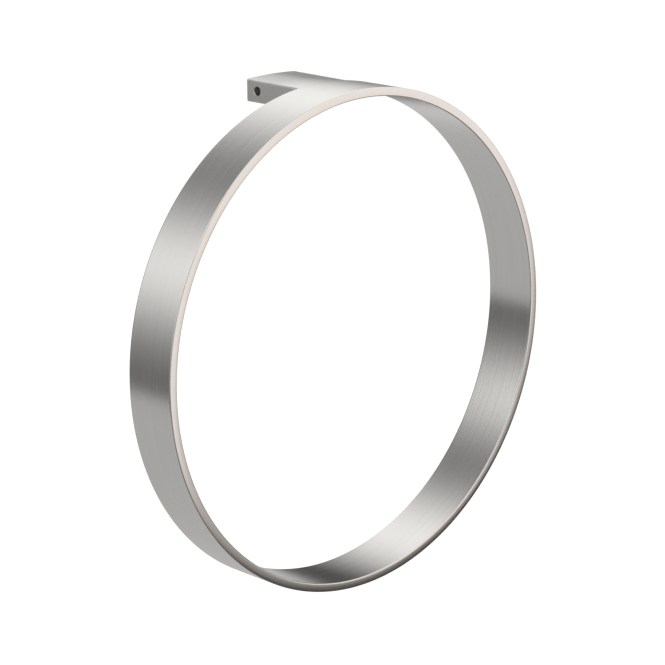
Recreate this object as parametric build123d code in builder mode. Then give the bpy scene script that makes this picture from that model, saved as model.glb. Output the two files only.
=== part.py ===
"""Towel ring: a rolled flat-bar ring welded to a small wall block, with a grub screw that clamps a wall pin.

Millimetres, +Z up. The wall is the plane y = 0, and the ring hangs in front of it, towards -Y.
The origin is where the axis of the wall pin's bore meets the wall.
"""

import os
from math import asin, cos, degrees, radians, sin, tan

from build123d import *

# Ring band: a flat bar rolled on its flat side and closed by a weld
ring_inner_diameter = 165.0
band_thickness = 3.0
band_width = 20.0
band_edge_radius = 0.4

# Wall block: a short bar behind the ring, its top ground from the ring's curve to a flatter arch at the wall
block_width = 22.0
block_height = 8.0
block_length = 25.0
block_arch_radius = 150.0
block_edge_radius = 0.5
block_wall_chamfer = 0.3

# Blind bore for the wall pin, drilled into the block from the wall side
pin_diameter = 5.0
pin_clearance = 0.1
pin_bore_depth = 16.0
drill_point_angle = 118.0

# Grub screw in the block's left side, with a hexagon socket and a cup point
screw_diameter = 3.0
screw_from_wall = 5.2
screw_recess = 2.2
screw_gap_to_bore = 0.2
screw_end_chamfer = 0.3
thread_clearance = 0.05
tapped_hole_chamfer = 0.15
socket_across_flats = 1.5
socket_depth = 1.8
cup_diameter = 1.4
cup_angle = 120.0

# Places that follow from the sizes above
ring_inner_radius = ring_inner_diameter / 2
ring_outer_radius = ring_inner_radius + band_thickness
ring_middle_radius = ring_inner_radius + band_thickness / 2
ring_centre_z = block_height / 2 - ring_outer_radius
band_middle_y = -block_length - band_width / 2
block_left_x = -block_width / 2
land_half_angle = degrees(asin((block_width / 2 - block_edge_radius) / ring_outer_radius))
pin_bore_radius = pin_diameter / 2 + pin_clearance
screw_radius = screw_diameter / 2
tapped_hole_radius = screw_radius + thread_clearance
screw_head_x = block_left_x + screw_recess
screw_tip_x = -pin_bore_radius - screw_gap_to_bore

ring_axis = Axis((0, 0, ring_centre_z), (0, 1, 0))
screw_axis = Axis((0, -screw_from_wall, 0), (1, 0, 0))
wall_plane = Plane(origin=(0, 0, 0), x_dir=(1, 0, 0), z_dir=(0, 1, 0))


def section_plane(angle):
    """Plane through the ring's axis, at an angle from the top: local x runs to the wall, local y outwards."""
    normal = (cos(radians(angle)), 0, -sin(radians(angle)))
    return Plane(origin=(0, 0, ring_centre_z), x_dir=(0, 1, 0), z_dir=normal)


def cone_height(base_radius, point_angle):
    """Height of a cone with this base radius and this full angle at its point."""
    return base_radius / tan(radians(point_angle / 2))


# Ring band: its rounded section turned about the ring's axis, all but the short stretch at the block
with BuildPart() as ring_band:
    with BuildSketch(section_plane(land_half_angle)):
        with Locations((band_middle_y, ring_middle_radius)):
            RectangleRounded(band_width, band_thickness, band_edge_radius)
    revolve(axis=ring_axis, revolution_arc=360 - 2 * land_half_angle)
    # Along the block the back edges stay square, where the weld is ground flush with the block
    with BuildSketch(section_plane(-land_half_angle)) as land_section:
        with Locations((band_middle_y, ring_middle_radius)):
            Rectangle(band_width, band_thickness)
        fillet(land_section.vertices().sort_by(Axis.X)[:2], band_edge_radius)
    revolve(axis=ring_axis, revolution_arc=2 * land_half_angle)

# Wall block: a bar whose arched top is level with the ring's crown, and meets the ring in the ring's own curve
with BuildPart() as mounting_block:
    for from_wall, arch_radius in ((0, block_arch_radius), (block_length, ring_outer_radius)):
        with BuildSketch(Plane.XZ.offset(from_wall)) as block_section:
            with Locations((0, -block_height / 2)):
                Rectangle(block_width, 2 * block_height, align=(Align.CENTER, Align.MIN))
            with Locations((0, block_height / 2 - arch_radius)):
                Circle(arch_radius, mode=Mode.INTERSECT)
            fillet(block_section.vertices(), block_edge_radius)
    loft(ruled=True)
    wall_face = mounting_block.faces().sort_by(Axis.Y)[-1]
    chamfer(wall_face.edges(), block_wall_chamfer)
    # The pin's bore ends in the cone that the drill leaves
    with Locations(wall_plane):
        Hole(pin_bore_radius, depth=pin_bore_depth)
    with Locations(Plane(origin=(0, -pin_bore_depth, 0), z_dir=(0, -1, 0))):
        bore_point_height = cone_height(pin_bore_radius, drill_point_angle)
        bottom_up = (Align.CENTER, Align.CENTER, Align.MIN)
        Cone(pin_bore_radius, 0, bore_point_height, align=bottom_up, mode=Mode.SUBTRACT)
    # The tapped hole runs from the left side into the bore
    with Locations(Plane(origin=(block_left_x, -screw_from_wall, 0), z_dir=(-1, 0, 0))):
        CounterSinkHole(
            radius=tapped_hole_radius,
            counter_sink_radius=tapped_hole_radius + tapped_hole_chamfer,
            depth=block_width / 2,
            counter_sink_angle=90,
        )

# Grub screw: a turned blank with a chamfered head end and a cup at its tip
with BuildPart() as grub_screw:
    cup_radius = cup_diameter / 2
    tip_taper = screw_radius - cup_radius
    with BuildSketch(Plane.XZ.offset(screw_from_wall)):
        with BuildLine():
            Polyline(
                (screw_head_x, 0),
                (screw_head_x, screw_radius - screw_end_chamfer),
                (screw_head_x + screw_end_chamfer, screw_radius),
                (screw_tip_x - tip_taper, screw_radius),
                (screw_tip_x, cup_radius),
                (screw_tip_x - cone_height(cup_radius, cup_angle), 0),
                close=True,
            )
        make_face()
    revolve(axis=screw_axis)
    # The hexagon socket ends in a drilled point too
    with BuildSketch(Plane(origin=(screw_head_x, -screw_from_wall, 0), x_dir=(0, 1, 0), z_dir=(1, 0, 0))):
        RegularPolygon(socket_across_flats / 2, side_count=6, major_radius=False)
    extrude(amount=socket_depth, mode=Mode.SUBTRACT)
    with Locations(Plane(origin=(screw_head_x + socket_depth, -screw_from_wall, 0), z_dir=(1, 0, 0))):
        socket_radius = socket_across_flats / 2
        socket_point_height = cone_height(socket_radius, drill_point_angle)
        Cone(socket_radius, 0, socket_point_height, align=bottom_up, mode=Mode.SUBTRACT)

# Each piece is written as a solid of its own
ring_band.part.label = "ring_band"
mounting_block.part.label = "mounting_block"
grub_screw.part.label = "grub_screw"

os.makedirs("parts", exist_ok=True)
export_step(ring_band.part, "parts/ring_band.step")
export_step(mounting_block.part, "parts/mounting_block.step")
export_step(grub_screw.part, "parts/grub_screw.step")
print("grub screw length", round(screw_tip_x - screw_head_x, 3))
print("ring centre height", round(ring_centre_z, 3))
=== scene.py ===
# %% [markdown]
# # A towel ring in brushed steel
# The object is a flat steel bar rolled into a ring, with a short block behind its top as its wall mount.
# The solids come in as a fixed frame in metres, and this lesson gives them their finish, light and camera.
# The box of the bare solids is kept at once.

# %% Load the frame
from math import cos, pi, radians, sin

import bmesh
import bpy
from mathutils import Matrix, Vector


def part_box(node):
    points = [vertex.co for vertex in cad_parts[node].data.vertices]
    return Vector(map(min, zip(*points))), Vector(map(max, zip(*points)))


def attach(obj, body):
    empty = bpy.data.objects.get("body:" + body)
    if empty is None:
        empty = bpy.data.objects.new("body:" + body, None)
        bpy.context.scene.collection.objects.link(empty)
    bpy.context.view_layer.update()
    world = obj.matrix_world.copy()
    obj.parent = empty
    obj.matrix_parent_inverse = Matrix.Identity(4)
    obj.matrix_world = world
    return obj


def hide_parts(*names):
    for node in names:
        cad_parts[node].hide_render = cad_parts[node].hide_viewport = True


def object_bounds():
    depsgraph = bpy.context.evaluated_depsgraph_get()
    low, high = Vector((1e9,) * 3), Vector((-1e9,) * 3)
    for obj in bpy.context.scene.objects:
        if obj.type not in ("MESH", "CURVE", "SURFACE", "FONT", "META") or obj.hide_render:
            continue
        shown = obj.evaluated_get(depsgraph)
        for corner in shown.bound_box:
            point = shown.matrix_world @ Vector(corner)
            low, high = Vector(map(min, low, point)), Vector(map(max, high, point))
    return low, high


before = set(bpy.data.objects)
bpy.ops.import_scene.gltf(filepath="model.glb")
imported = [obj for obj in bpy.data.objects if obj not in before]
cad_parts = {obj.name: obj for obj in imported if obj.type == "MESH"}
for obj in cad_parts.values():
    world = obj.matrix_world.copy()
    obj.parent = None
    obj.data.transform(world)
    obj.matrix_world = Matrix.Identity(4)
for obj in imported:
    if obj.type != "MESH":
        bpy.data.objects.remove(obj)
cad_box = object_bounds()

print("nodes", sorted(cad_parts))
print("size of the solids", [round(side, 4) for side in cad_box[1] - cad_box[0]])

# %% [markdown]
# ## The ring's own axes
# The brushing on a rolled ring runs round it, so every finish below is described about the ring's axis.
# Each brushed piece gets local axes for that: X to the right, Y up and Z out of the front of the ring.
# The shader's grain then turns about local Z with no extra node, and world axes would not give that.

# %% Sizes and axes of the ring
band_low, band_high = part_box("ring_band")
ring_radius = (band_high.x - band_low.x) / 2
band_half_width = (band_high.y - band_low.y) / 2
ring_centre = Vector((0, (band_low.y + band_high.y) / 2, band_high.z - ring_radius))
ring_axes = Matrix.Translation(ring_centre) @ Matrix.Rotation(pi / 2, 4, "X")
print("ring centre", [round(value, 5) for value in ring_centre], "band width", round(2 * band_half_width, 5))

# %% [markdown]
# ## Shader maths as plain expressions
# A finish is a sum of small effects, and wiring each Math node by hand hides what it means.
# This class wraps a socket, so that `0.25 + 0.1 * grain` adds the nodes for it, in either order.
# Every other node comes from its one method, `add`, which sets a node's options first and then its sockets.

# %% The socket class
class Wire:
    """An output socket of a node tree. Arithmetic on it adds Math nodes."""

    def __init__(self, tree, socket=None):
        self.tree = tree
        self.socket = socket

    def add(self, kind, settings=None, sockets=None, output=0):
        """A new node of this kind: its settings, then the values or links of its sockets, and one output."""
        node = self.tree.nodes.new(kind)
        for name, value in (settings or {}).items():
            setattr(node, name, value)
        for key, value in (sockets or {}).items():
            target = self.pick(node.inputs, key)
            if isinstance(value, Wire):
                self.tree.links.new(value.socket, target)
            else:
                target.default_value = value
        return Wire(self.tree, self.pick(node.outputs, output) if len(node.outputs) else None)

    @staticmethod
    def pick(sockets, key):
        """A socket by its place, its identifier or its name."""
        if isinstance(key, int):
            return sockets[key]
        same = [socket for socket in sockets if socket.identifier == key]
        return same[0] if same else sockets[key]

    def math(self, operation, first, second=0.0, clamp=False):
        settings = {"operation": operation, "use_clamp": clamp}
        return self.add("ShaderNodeMath", settings, {0: first, 1: second})

    def __add__(self, other):
        return self.math("ADD", self, other)

    def __radd__(self, other):
        return self.math("ADD", other, self)

    def __sub__(self, other):
        return self.math("SUBTRACT", self, other)

    def __rsub__(self, other):
        return self.math("SUBTRACT", other, self)

    def __mul__(self, other):
        return self.math("MULTIPLY", self, other)

    def __rmul__(self, other):
        return self.math("MULTIPLY", other, self)

    def exp(self):
        return self.math("EXPONENT", self)

    def clamped(self):
        return self.math("ADD", self, 0.0, clamp=True)


print("socket class", [name for name in vars(Wire) if not name.startswith("__")])

# %% [markdown]
# ## Scratches round the ring
# The bar was belt-ground before it was rolled, so its scratches are long round the ring and fine across it.
# A noise that is stretched along one direction gives such lines, and it never repeats as an image would.
# The fine coordinate is the sum of radius and depth, so the same lines run round the faces and the rim.

# %% The scratches
scratch_length = 0.05
scratch_pitch = 0.0007
scratch_detail = 3.0
scratch_fineness = 0.6


def axis(vector, name):
    """One coordinate of a vector."""
    return vector.add("ShaderNodeSeparateXYZ", None, {0: vector}, name)


def scratch_noise(place):
    """A noise of long scratches round the local Z axis."""
    across = place.add("ShaderNodeVectorMath", {"operation": "MULTIPLY"}, {0: place, 1: (1, 1, 0)})
    radius = place.add("ShaderNodeVectorMath", {"operation": "LENGTH"}, {0: across}, "Value")
    fine = (radius + axis(place, "Z")) * (1 / scratch_pitch)
    long_way = {0: across, "Scale": 1 / scratch_length}
    along = place.add("ShaderNodeVectorMath", {"operation": "SCALE"}, long_way)
    lift = place.add("ShaderNodeCombineXYZ", None, {"Z": fine})
    spot = place.add("ShaderNodeVectorMath", {"operation": "ADD"}, {0: along, 1: lift})
    sockets = {"Vector": spot, "Scale": 1.0, "Detail": scratch_detail, "Roughness": scratch_fineness}
    return place.add("ShaderNodeTexNoise", None, sockets)


print("scratches", scratch_length, "by", scratch_pitch, "m")

# %% [markdown]
# ## Painted shade beside the weld
# The crown of the ring beside the weld gets painted shade, its colour darkened towards a grey tone.
# It is darkest on the right, towards the wall, and fades out softly, so no border shows from any side.
# A bell curve in one coordinate and a ramp in each of the others are enough for that.

# %% The painted shade beside the weld
# Painted shade: the grey tone that darkened parts of the steel's colour blend towards.
painted_shade_tone = (0.25, 0.25, 0.245, 1)
crown_shade_strength = 0.7
crown_shade_middle = 0.007
crown_shade_width = 0.011
crown_low = 0.07
crown_fade = 0.01
crown_shade_at_mid_depth = 0.3


def crown_painted_shade(place, top):
    """Share of painted shade, a darker grey tone, on the upward faces of the crown."""
    crown = top * ((axis(place, "Y") - crown_low) * (1 / crown_fade)).clamped()
    backward = (crown_shade_at_mid_depth - axis(place, "Z") * ((1 - crown_shade_at_mid_depth) / band_half_width)).clamped()
    off_middle = (axis(place, "X") - crown_shade_middle) * (1 / crown_shade_width)
    return crown_shade_strength * crown * backward * (0 - off_middle * off_middle).exp()


# The width of the crown's painted shade.
print("painted_crown_patch", round(2 * crown_shade_width, 3), "m wide")

# %% [markdown]
# ## What the grinder left, and painted shade
# The block's top gets painted shade, darker towards the wall. It was ground by hand, which leaves ridges
# that lean.
# They are too fine to model, but they turn a reflection as a slope would.
# So the finish gets a slope for its bump that starts beside the middle and grows to each side.

# %% The ground top and its painted shade
# Painted shade on the block's top, darker towards the wall, with this strength.
top_painted_shade = 0.52
ground_blend = 0.012
right_lean_start = -0.003
right_lean = 7.0
left_lean_start = 0.008
left_lean = 35.0


# This mask carries both the top's painted shade and its leaning ridges.
def ridges_and_shade_share(place, top):
    """Nothing on the ring, then growing from the ring's back edge towards the wall, on upward faces only."""
    return top * ((0 - axis(place, "Z") - band_half_width) * (1 / ground_blend)).clamped()


def ridge_drop(place):
    """A drop in metres, whose slope stands for the leaning ridges."""
    to_right = place.math("MAXIMUM", axis(place, "X") - right_lean_start, 0.0)
    to_left = place.math("MAXIMUM", 0 - axis(place, "X") - left_lean_start, 0.0)
    return right_lean * to_right * to_right + left_lean * to_left * to_left


print("ground top blends in over", ground_blend, "m")

# %% [markdown]
# ## Brushed stainless steel
# Scratches spread a reflection across the grain only: that is the shader's anisotropy, a constant here.
# The front rim was filed by hand, so it is a little warmer in tone than the ground faces.
# The block is the same steel, with the rougher sides of a sawn bar and its ground top added: leaning ridges
# in the bump, painted shade in the colour.

# %% The steel finish
steel_dark = (0.58, 0.566, 0.555, 1)
steel_light = (0.67, 0.655, 0.643, 1)
rim_tone = (0.69, 0.655, 0.625, 1)
scratch_relief = 0.00003
scratch_roughness = 0.08
scratch_mean = 0.5
grain_turn = 0.25
sawn_roughness = 0.16


def new_finish(name):
    """A material with an empty node tree, and a Wire to start its expressions from."""
    material = bpy.data.materials.new(name)
    material.use_nodes = True
    material.node_tree.nodes.clear()
    return material, Wire(material.node_tree)


def blend_colours(start, factor, first, second):
    """A Mix node from the first colour to the second."""
    sockets = {"Factor_Float": factor, "A_Color": first, "B_Color": second}
    return start.add("ShaderNodeMix", {"data_type": "RGBA"}, sockets, "Result_Color")


def brushed_steel(name, roughness, stretch, sawn_bar=False):
    """Steel with scratches that run round the local Z axis, and reflections stretched across them."""
    material, start = new_finish(name)
    place = start.add("ShaderNodeTexCoord", output="Object")
    facing = start.add("ShaderNodeTexCoord", output="Normal")
    scratches = scratch_noise(place)
    outward = axis(facing, "Z")
    upward = axis(facing, "Y").clamped()
    top = upward * upward
    steel = blend_colours(start, scratches, steel_dark, steel_light)
    colour = blend_colours(start, (outward * outward).clamped(), steel, rim_tone)
    rough = roughness + scratch_roughness * (scratches - scratch_mean)
    relief = scratch_relief * scratches
    # Painted shade darkens the colour on the crown beside the weld.
    shade = crown_painted_shade(place, top)
    if sawn_bar:
        rough = rough + sawn_roughness * (1 - top)
        ground = ridges_and_shade_share(place, top)
        # The block's top adds painted shade, darker towards the wall.
        shade = shade + top_painted_shade * ground * (1 - shade)
        relief = relief - ground * ridge_drop(place)
    bump = start.add("ShaderNodeBump", None, {"Strength": 1.0, "Distance": 1.0, "Height": relief})
    sockets = {
        "Base Color": blend_colours(start, shade, colour, painted_shade_tone),
        "Metallic": 1.0,
        "Roughness": rough,
        "Anisotropic": stretch,
        "Anisotropic Rotation": grain_turn,
        "Normal": bump,
    }
    surface = start.add("ShaderNodeBsdfPrincipled", None, sockets)
    start.add("ShaderNodeOutputMaterial", None, {"Surface": surface})
    return material


band_finish = brushed_steel("brushed_band", roughness=0.21, stretch=0.75)
print("steel finish", len(band_finish.node_tree.nodes), "nodes")

# %% [markdown]
# ## The ring band
# The real band is a 20 by 3 mm bar with its edges broken by a file, rolled until its ends meet at the top.
# Its section is one rounded rectangle, so the mesh is that section carried round the axis in even steps.
# A point close beside each rounded edge keeps the wide faces true in the reflections.
# Grinding leaves the front rim some hundredths of a millimetre fuller in the middle, which shades it.

# %% The band's section
band_thickness = 0.003
edge_radius = 0.0004
edge_steps = 6
guard = 0.0003
rim_crown = 0.00005
rim_steps = 6


def corner_points(radius_at, depth_at, out_sign, front_sign, size):
    """Points of one rounded corner of the section, as radius and depth, from the wide face to the rim."""
    points = []
    for step in range(edge_steps + 1):
        turn = pi / 2 * step / edge_steps
        points.append((
            radius_at - out_sign * size * (1 - cos(turn)),
            depth_at - front_sign * size * (1 - sin(turn)),
        ))
    return points


def band_section(back_edge):
    """The section's outline, as radius and depth, with this rounding on the edges at the wall side."""
    outer = ring_radius
    inner = ring_radius - band_thickness
    front = band_half_width
    back = -band_half_width
    front_out = corner_points(outer, front - rim_crown, 1, 1, edge_radius)
    front_in = corner_points(inner, front - rim_crown, -1, 1, edge_radius)
    back_in = corner_points(inner, back, -1, -1, back_edge)
    back_out = corner_points(outer, back, 1, -1, back_edge)
    keep = edge_radius + guard
    rim_half = band_thickness / 2 - edge_radius
    shares = [1 - 2 * step / rim_steps for step in range(1, rim_steps)]
    rim = [(inner + band_thickness / 2 + share * rim_half, front - rim_crown * share**2) for share in shares]
    outline = [(outer, back + keep), (outer, front - keep)]
    outline += front_out + rim + front_in[::-1]
    outline += [(inner, front - keep), (inner, back + keep)]
    outline += back_in + [(inner + keep, back), (outer - keep, back)] + back_out[::-1]
    return outline


print("section", len(band_section(edge_radius)), "points")

# %% [markdown]
# ## The section carried round
# Behind the top, where the weld is ground flush with the block, the back edges run out to square.
# The rounding there shrinks to almost nothing instead of stopping, so every step has the same points.
# Quads between one step and the next then close the ring with no seam.

# %% The band's mesh
band_steps = 360
smallest_edge = 0.00002
weld_land_half_angle = radians(7.05)
weld_run_out = radians(1)


def back_edge_at(angle):
    """Rounding of the back edges at this angle from the top: it runs out beside the weld."""
    past = (abs(angle) - weld_land_half_angle) / weld_run_out
    share = min(1, max(0, past))
    return smallest_edge + (edge_radius - smallest_edge) * share * share * (3 - 2 * share)


def mesh_object(name, grid):
    """An object in the scene from a finished grid of points and faces."""
    mesh = bpy.data.meshes.new(name)
    grid.to_mesh(mesh)
    grid.free()
    piece = bpy.data.objects.new(name, mesh)
    bpy.context.scene.collection.objects.link(piece)
    return piece


def make_band():
    """The ring as a mesh object in the ring's own axes."""
    grid = bmesh.new()
    columns = []
    for step in range(band_steps):
        angle = 2 * pi * step / band_steps - pi
        section = band_section(back_edge_at(angle))
        columns.append([grid.verts.new((r * sin(angle), r * cos(angle), depth)) for r, depth in section])
    count = len(columns[0])
    for step, column in enumerate(columns):
        following = columns[(step + 1) % band_steps]
        for place in range(count):
            above = (place + 1) % count
            grid.faces.new((column[place], column[above], following[above], following[place]))
    bmesh.ops.recalc_face_normals(grid, faces=grid.faces)
    for face in grid.faces:
        face.smooth = True
    band = mesh_object("ring_band_brushed", grid)
    band.matrix_world = ring_axes
    return band


band = make_band()
band.data.materials.append(band_finish)
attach(band, "root")
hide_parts("ring_band")
print("band", len(band.data.polygons), "faces")

# %% [markdown]
# ## The wall block
# The block is a short sawn bar with two holes in it, welded behind the ring and ground level with it on top.
# Its solid already has the right form, so its mesh is copied into the ring's axes and nothing is remodelled.
# Sharing those axes makes the scratches on its top run on from the ring's, and only its sides are rougher.

# %% The block in the ring's axes
def in_ring_axes(node, name):
    """A copy of a node's mesh whose local axes are the ring's."""
    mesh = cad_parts[node].data.copy()
    mesh.name = name
    mesh.transform(ring_axes.inverted())
    mesh.materials.clear()
    piece = bpy.data.objects.new(name, mesh)
    bpy.context.scene.collection.objects.link(piece)
    piece.matrix_world = ring_axes
    return piece


block = in_ring_axes("mounting_block", "mounting_block_brushed")
block_finish = brushed_steel("brushed_block", roughness=0.22, stretch=0.6, sawn_bar=True)
block.data.materials.append(block_finish)
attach(block, "root")
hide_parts("mounting_block")
print("block", len(block.data.polygons), "faces")

# %% [markdown]
# ## The grub screw
# A grub screw is hardened and then blackened, which leaves a thin dark oxide with a faint uneven film.
# Its solid stays as it is and only takes that finish: dark metal with a small noise in tone and roughness.

# %% The screw's finish
oxide_dark = (0.1, 0.1, 0.1, 1)
oxide_worn = (0.17, 0.168, 0.165, 1)
film_scale = 900.0
film_detail = 2.0
film_roughness = 0.3
film_unevenness = 0.2


def black_oxide(name):
    """Blackened steel with a faint uneven film."""
    material, start = new_finish(name)
    place = start.add("ShaderNodeTexCoord", output="Object")
    noise = {"Vector": place, "Scale": film_scale, "Detail": film_detail}
    film = start.add("ShaderNodeTexNoise", None, noise)
    sockets = {
        "Base Color": blend_colours(start, film, oxide_dark, oxide_worn),
        "Metallic": 1.0,
        "Roughness": film_roughness + film_unevenness * film,
    }
    surface = start.add("ShaderNodeBsdfPrincipled", None, sockets)
    start.add("ShaderNodeOutputMaterial", None, {"Surface": surface})
    return material


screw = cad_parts["grub_screw"]
screw.data.materials.clear()
screw.data.materials.append(black_oxide("blackened_screw"))
print("screw", len(screw.data.polygons), "faces")

# %% [markdown]
# ## Floor and white surroundings
# The ring is shown on white, so the floor and the world are white to the camera and to reflections.
# The floor still takes the shadow: its own light only lifts a pale diffuse surface up to white.

# %% Floor and world
floor_drop = 0.28
floor_reach = 9.0
floor_tone = (0.8, 0.8, 0.8, 1)
floor_lift = 0.57
ambient_strength = 0.55


def seen_directly(start):
    """One for camera, glossy and transmitted rays, and nothing for the light that surfaces scatter."""
    rays = ("Is Camera Ray", "Is Glossy Ray", "Is Transmission Ray")
    camera, glossy, through = [start.add("ShaderNodeLightPath", output=ray) for ray in rays]
    return (camera + glossy + through).clamped()


def glow(start, tone, light):
    """A light whose colour carries both its tone and its strength."""
    colour = start.add("ShaderNodeVectorMath", {"operation": "SCALE"}, {0: tone, "Scale": light})
    return start.add("ShaderNodeEmission", None, {"Color": colour})


def make_floor():
    """A large pale plane below the ring."""
    material, start = new_finish("floor_white")
    paint = start.add("ShaderNodeBsdfDiffuse", None, {"Color": floor_tone})
    lift = glow(start, (1, 1, 1), floor_lift * seen_directly(start))
    surface = start.add("ShaderNodeAddShader", None, {0: paint, 1: lift})
    start.add("ShaderNodeOutputMaterial", None, {"Surface": surface})
    grid = bmesh.new()
    bmesh.ops.create_grid(grid, x_segments=1, y_segments=1, size=floor_reach)
    floor = mesh_object("floor", grid)
    floor.data.materials.append(material)
    floor.location.z = cad_box[0].z - floor_drop
    return floor


def make_world():
    """White where it is seen, and a softer light for what it scatters on."""
    world = bpy.data.worlds.new("white_surroundings")
    world.use_nodes = True
    world.node_tree.nodes.clear()
    start = Wire(world.node_tree)
    seen = seen_directly(start)
    strength = ambient_strength + (1 - ambient_strength) * seen
    sky = start.add("ShaderNodeBackground", None, {"Color": (1, 1, 1, 1), "Strength": strength})
    start.add("ShaderNodeOutputWorld", None, {"Surface": sky})
    bpy.context.scene.world = world


floor = make_floor()
make_world()
print("floor at", round(floor.location.z, 3))

# %% [markdown]
# ## The light tent
# Brushed steel shows nothing but its surroundings, so a photographer builds them out of cards and dark gaps.
# Here one barrel stands round the ring's axis, unseen by the camera, and only reflections find it.
# Behind the ring it is dark, with one wide grey card below and a few windows, each a soft lobe.
# In front it grows lighter upwards and away from the ring, which shades the rim.
# On the left it fades downwards and away from the ring, so the rounded edge is dark only low on the ring.

# %% The tent's light
tent_radius = 0.3
tent_half_length = 0.9
gap_light = 0.09
least_light = 0.05
lower_card_light = 0.29
lower_card_middle = radians(177.9)
lower_card_half = radians(72)
card_edge = 22.0
windows = [
    # direction from the top in degrees, sharpness, change of light, how far back it reaches
    (22, 9.4, 0.48, 0.9),
    (47, 11, 0.48, 0.9),
    (301, 10.5, 0.7, 0.37),
    (101, 30, -0.13, 0.9),
    (74, 25, -0.18, 0.28),
    (121, 40, 0.14, 0.9),
]
window_fade = 0.06
front_light = 0.063
front_rise = 1.269
front_growth = 3.38
front_least = 0.02
front_most = 0.74
left_light = 0.5
left_rise = 0.5
left_fade = 1.1
left_least = 0.13
front_middle = 0.4
front_slope = 0.8
front_edge = 20.0


def ramp(middle, sharpness, value):
    """A step from nothing to one, soft at its middle."""
    return (0.5 + sharpness * (value - middle)).clamped()


def light_behind(right, up, ahead):
    """Light of the barrel behind the ring: the card below, then each window."""
    lower = right * sin(lower_card_middle) + up * cos(lower_card_middle)
    light = gap_light + lower_card_light * ramp(cos(lower_card_half), card_edge, lower)
    for direction, sharpness, change, reach in windows:
        toward = right * sin(radians(direction)) + up * cos(radians(direction))
        lobe = (sharpness * (toward - 1)).exp()
        light = light + change * ramp(-reach, 1 / window_fade, ahead) * lobe
    return light.math("MAXIMUM", light, least_light)


def light_before(right, up, ahead):
    """Light of the barrel in front of the ring."""
    rising = front_light + front_rise * up + front_growth * ahead
    rising = rising.math("MINIMUM", rising.math("MAXIMUM", rising, front_least), front_most)
    left = left_light + left_rise * up - left_fade * ahead
    left = left.math("MAXIMUM", left, left_least)
    return left + (front_middle + front_slope * right).clamped() * (rising - left)


print("windows", len(windows))

# %% [markdown]
# ## Building the tent
# The barrel is two rings of points joined by cards and closed at the back, in the ring's own axes.
# Its light is divided by the tone of the steel, so the numbers above are tones that the steel is to show.
# It is hidden from the camera and casts no shadow, so the floor and the white surroundings stay as they are.

# %% The tent
tent_steps = 96
steel_share = 0.63
cool_tone = (1, 1, 0.985, 1)
warm_tone = (1, 0.97, 0.945, 1)


def make_tent():
    """A barrel of cards about the ring's axis, open at the front."""
    material, start = new_finish("light_tent")
    place = start.add("ShaderNodeTexCoord", output="Object")
    right = axis(place, "X") * (1 / tent_radius)
    up = axis(place, "Y") * (1 / tent_radius)
    ahead = axis(place, "Z")
    behind = light_behind(right, up, ahead)
    share = ramp(0, front_edge, ahead)
    light = behind + share * (light_before(right, up, ahead) - behind)
    tone = blend_colours(start, share, cool_tone, warm_tone)
    surface = glow(start, tone, light * (1 / steel_share))
    start.add("ShaderNodeOutputMaterial", None, {"Surface": surface})
    grid = bmesh.new()
    ends = []
    for depth in (-tent_half_length, tent_half_length):
        turns = [2 * pi * step / tent_steps for step in range(tent_steps)]
        ends.append([grid.verts.new((tent_radius * sin(t), tent_radius * cos(t), depth)) for t in turns])
    for step in range(tent_steps):
        after = (step + 1) % tent_steps
        grid.faces.new((ends[0][step], ends[0][after], ends[1][after], ends[1][step]))
    grid.faces.new(ends[0])
    tent = mesh_object("light_tent", grid)
    tent.data.materials.append(material)
    tent.matrix_world = ring_axes
    tent.visible_camera = False
    tent.visible_diffuse = False
    tent.visible_shadow = False
    tent.visible_transmission = False
    tent.visible_volume_scatter = False
    return tent


tent = make_tent()
print("tent", len(tent.data.polygons), "cards")

# %% [markdown]
# ## A soft lamp overhead
# One large lamp above the ring gives the floor its soft shadow, as a ceiling panel in a studio does.
# It is weak, because the tent already lights the steel.

# %% The lamp
lamp_offset = Vector((-0.3, -0.2, 1.6))
lamp_size = 1.8
lamp_power = 9.0

lamp_data = bpy.data.lights.new("overhead_lamp", "AREA")
lamp_data.energy = lamp_power
lamp_data.size = lamp_size
lamp = bpy.data.objects.new("overhead_lamp", lamp_data)
lamp.location = ring_centre + lamp_offset
bpy.context.scene.collection.objects.link(lamp)
print("lamp", lamp_power, "W")

# %% [markdown]
# ## The camera
# The photograph looks at the ring from its front left and a little above, through a long lens.
# The view's turn, tilt and distance place the camera, and it aims a little beside the ring's front centre.

# %% The camera
view_turn = radians(43.78)
view_tilt = radians(15.48)
view_roll = radians(-0.6)
view_distance = 9.462 * ring_radius
aim_left = 0.1319 * ring_radius
aim_up = 0.0416 * ring_radius
sensor_width = 36.0
frame_pixels = 665
lens_pixels = 2428

forward = Vector((sin(view_turn) * cos(view_tilt), cos(view_turn) * cos(view_tilt), -sin(view_tilt)))
level = Vector((cos(view_turn), -sin(view_turn), 0))
right = cos(view_roll) * level + sin(view_roll) * level.cross(forward)
upward = right.cross(forward)
front_centre = ring_centre + Vector((0, -band_half_width, 0))

camera_data = bpy.data.cameras.new("camera")
camera_data.sensor_width = sensor_width
camera_data.lens = sensor_width * lens_pixels / frame_pixels
camera = bpy.data.objects.new("camera", camera_data)
place = front_centre - aim_left * right + aim_up * upward - view_distance * forward
turned = Matrix((right, upward, -forward)).transposed().to_4x4()
camera.matrix_world = Matrix.Translation(place) @ turned
bpy.context.scene.collection.objects.link(camera)
bpy.context.scene.camera = camera
bpy.context.scene.view_settings.view_transform = "Standard"
print("camera", [round(value, 4) for value in camera.location], "lens", round(camera_data.lens, 1))

# %% [markdown]
# ## Finish
# The dressed ring must stay inside the box of its solids.
